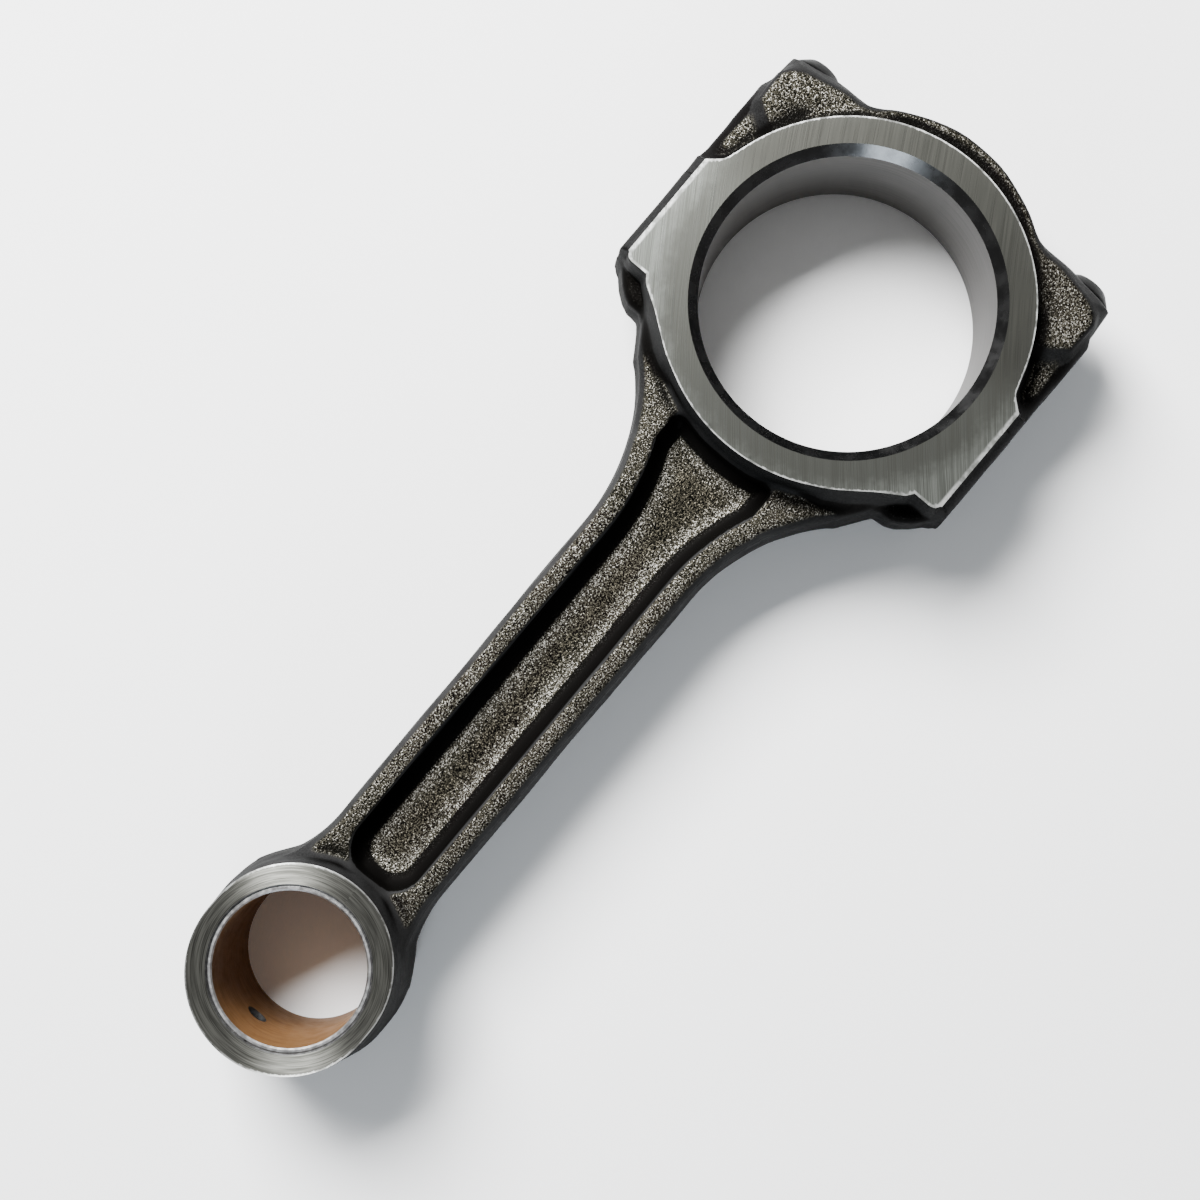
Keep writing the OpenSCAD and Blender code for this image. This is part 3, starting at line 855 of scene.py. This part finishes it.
def turned_steel():
    """Side face of the small end, turned in fine circles around the pin bore."""
    n = Nodes("turned_steel")
    p = n.place()
    fine, way = streaks(n, p, (PIN_X, 0, 0), 0.22, 40)
    wide, _ = streaks(n, p, (PIN_X, 0, 0), 1.2, 30)
    lines = n.math("ADD", n.math("MULTIPLY", fine, 0.65), n.math("MULTIPLY", wide, 0.35))
    base = n.blend(n.ramp(lines, 0.35, 0.65), (0.07, 0.07, 0.062, 1), (0.24, 0.24, 0.215, 1))
    # painted highlight along the edge of the face
    base = n.blend(painted_edge_highlight(n, p), base, (0.75, 0.76, 0.74, 1))
    n.bump(lines, 0.6, 0.06)
    n.put(n.shader.inputs["Tangent"], way)
    return n.finish(base, 0.95, 0.38, anisotropic=0.85)


def bored_steel():
    """Honed bore wall."""
    n = Nodes("bored_steel")
    p = n.place()
    x, y, z = n.parts(p)
    angle = n.math("MULTIPLY", n.math("ARCTAN2", y, x), 38.0)
    where = n.joint(n.math("DIVIDE", z, 0.35), n.math("DIVIDE", angle, 30.0))
    lines = n.noise(where, 1.0, 2.0)
    base = n.blend(n.ramp(lines, 0.3, 0.7), grey(0.15, 0.02), grey(0.2, 0.02))
    n.bump(lines, 0.3, 0.03)
    return n.finish(base, 0.8, 0.45, specular_tint=grey(0.35))


def plain_metal(name, dark, light, metallic, rough, size=1.5, depth=0.04, gloss=0.5):
    """Metal with a little mottling and fine texture."""
    n = Nodes(name)
    p = n.place()
    spots = n.noise(p, size, 3.0, 0.6)
    fine = n.noise(p, size / 6, 1.0)
    base = n.blend(n.ramp(spots, 0.3, 0.7), dark, light)
    n.bump(n.math("ADD", fine, spots), 0.5, depth)
    return n.finish(base, metallic, n.ramp(spots, 0.3, 0.7, rough, rough + 0.12),
                    specular_tint=grey(gloss), specular_ior_level=gloss)


def bronze():
    """Bearing bronze with burnished streaks around the bore and darker stains."""
    n = Nodes("bush_bronze")
    p = n.place()
    x, y, z = n.parts(n.vector("SUBTRACT", p, (PIN_X, 0, 0)))
    angle = n.math("MULTIPLY", n.math("ARCTAN2", y, x), PIN_R)
    lines = n.noise(n.joint(n.math("DIVIDE", z, 0.5), n.math("DIVIDE", angle, 14.0)), 1.0, 2.0)
    stains = n.noise(p, 6.0, 3.0, 0.6)
    base = n.blend(n.ramp(lines, 0.3, 0.7), (0.11, 0.054, 0.02, 1), (0.15, 0.076, 0.03, 1))
    base = n.blend(n.ramp(stains, 0.45, 0.75, 0.0, 0.5), base, (0.09, 0.043, 0.016, 1))
    n.bump(lines, 0.4, 0.03)
    return n.finish(base, 0.1, n.ramp(stains, 0.3, 0.7, 0.5, 0.6), specular_tint=grey(0.2),
                    specular_ior_level=0.25)


def dress(obj, materials, kinds=None, crease=30):
    """Give an object its materials and shading."""
    mesh = obj.data
    mesh.materials.clear()
    for m in materials:
        mesh.materials.append(m)
    if kinds is not None:
        mesh.polygons.foreach_set("material_index", kinds.astype(np.int32))
    mesh.polygons.foreach_set("use_smooth", np.ones(len(mesh.polygons), bool))
    mesh.set_sharp_from_angle(angle=math.radians(crease))
    mesh.update()
    return obj


def keep(obj, body, slot, *nodes):
    """Put a piece on its body, in place of its CAD nodes; the slot argument is not used."""
    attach(obj, body)
    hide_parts(*nodes)


steel = [forged_steel(), ground_steel(),
         bored_steel(),
         plain_metal("bevel_steel", grey(0.05), grey(0.07), 1.0, 0.2, 6.0, 0.01),
         turned_steel(),
         plain_metal("split_steel", grey(0.14, 0.02), grey(0.34, 0.02), 0.8, 0.45, 0.7, 0.3),
         # walls of holes and seats: drilled steel, painted darker than the other machined faces as shade
         # inside the holes
         plain_metal("drilled_steel_painted_shade", grey(0.05), grey(0.1), 0.9, 0.4)]
bush_rim = plain_metal("bright_edge", grey(0.3), grey(0.45), 1.0, 0.35)
oxide = plain_metal("black_oxide", grey(0.002), grey(0.005), 0.2, 0.36, 1.2, 0.05, 0.06)

rod = make_rod()
cap = make_cap()
for piece, shape, tall in ((rod, rod_shape, rod_shoulders), (cap, cap_shape, cap_shoulders)):
    dress(piece, steel, zones(piece))
    mark_surface(piece, shape, tall)
keep(rod, "rod", "forged_steel", "rod_body")
keep(cap, "cap", "forged_steel", "big_end_cap")
for side, y in (("left", -SCREW_Y), ("right", SCREW_Y)):
    screw = dress(make_screw("cap_screw_" + side + "_turned", y), [oxide])
    keep(screw, "screw_" + side, "screw_steel", "cap_screw_" + side)
bush = make_bush()
dress(bush, [bronze(), bush_rim, steel[DRILLED]], bush_zones(bush))
keep(bush, "rod", "bush_bronze", "small_end_bush")


# ---------------------------------------------------------------- floor, light and camera

def make_floor():
    half = 3000
    z = cad_box[0][2] / MM
    floor = mesh_object("floor", [(-half, -half, z), (half, -half, z), (half, half, z), (-half, half, z)],
                        [(0, 1, 2, 3)])
    n = Nodes("pale_floor")
    floor.data.materials.append(n.finish((0.93, 0.93, 0.93, 1), 0.0, 0.9))


def area_light(name, at, to, size, power, colour=(1, 1, 1)):
    data = bpy.data.lights.new(name, "AREA")
    data.shape, data.size, data.size_y = "RECTANGLE", size[0], size[1]
    data.energy, data.color = power, colour
    light = bpy.data.objects.new(name, data)
    light.location = at
    aim = (np.array(to) - np.array(at)) / np.linalg.norm(np.array(to) - np.array(at))
    light.rotation_euler = Vector(aim).to_track_quat("-Z", "Y").to_euler()
    bpy.context.scene.collection.objects.link(light)


def make_camera():
    data = bpy.data.cameras.new("camera")
    data.sensor_width, data.lens = 36.0, 52.40
    camera = bpy.data.objects.new("camera", data)
    camera.location = (0.10366, 0.02496, 0.46065)
    camera.rotation_euler = Euler([math.radians(a) for a in (2.580, 2.010, 129.954)])
    bpy.context.scene.collection.objects.link(camera)
    bpy.context.scene.camera = camera


def make_world(strength):
    world = bpy.data.worlds.new("studio")
    world.use_nodes = True
    back = world.node_tree.nodes["Background"]
    back.inputs["Color"].default_value = (1, 1, 1, 1)
    back.inputs["Strength"].default_value = strength
    bpy.context.scene.world = world


make_floor()
make_camera()
make_world(0.3)
centre = (0.1, 0, 0)
area_light("key", (-0.25, -0.85, 0.95), centre, (0.7, 0.7), 100)
area_light("window", (1.25, 0.62, 0.42), (0, 0, 0.01), (0.5, 0.3), 12, (0.8, 0.9, 1.0))
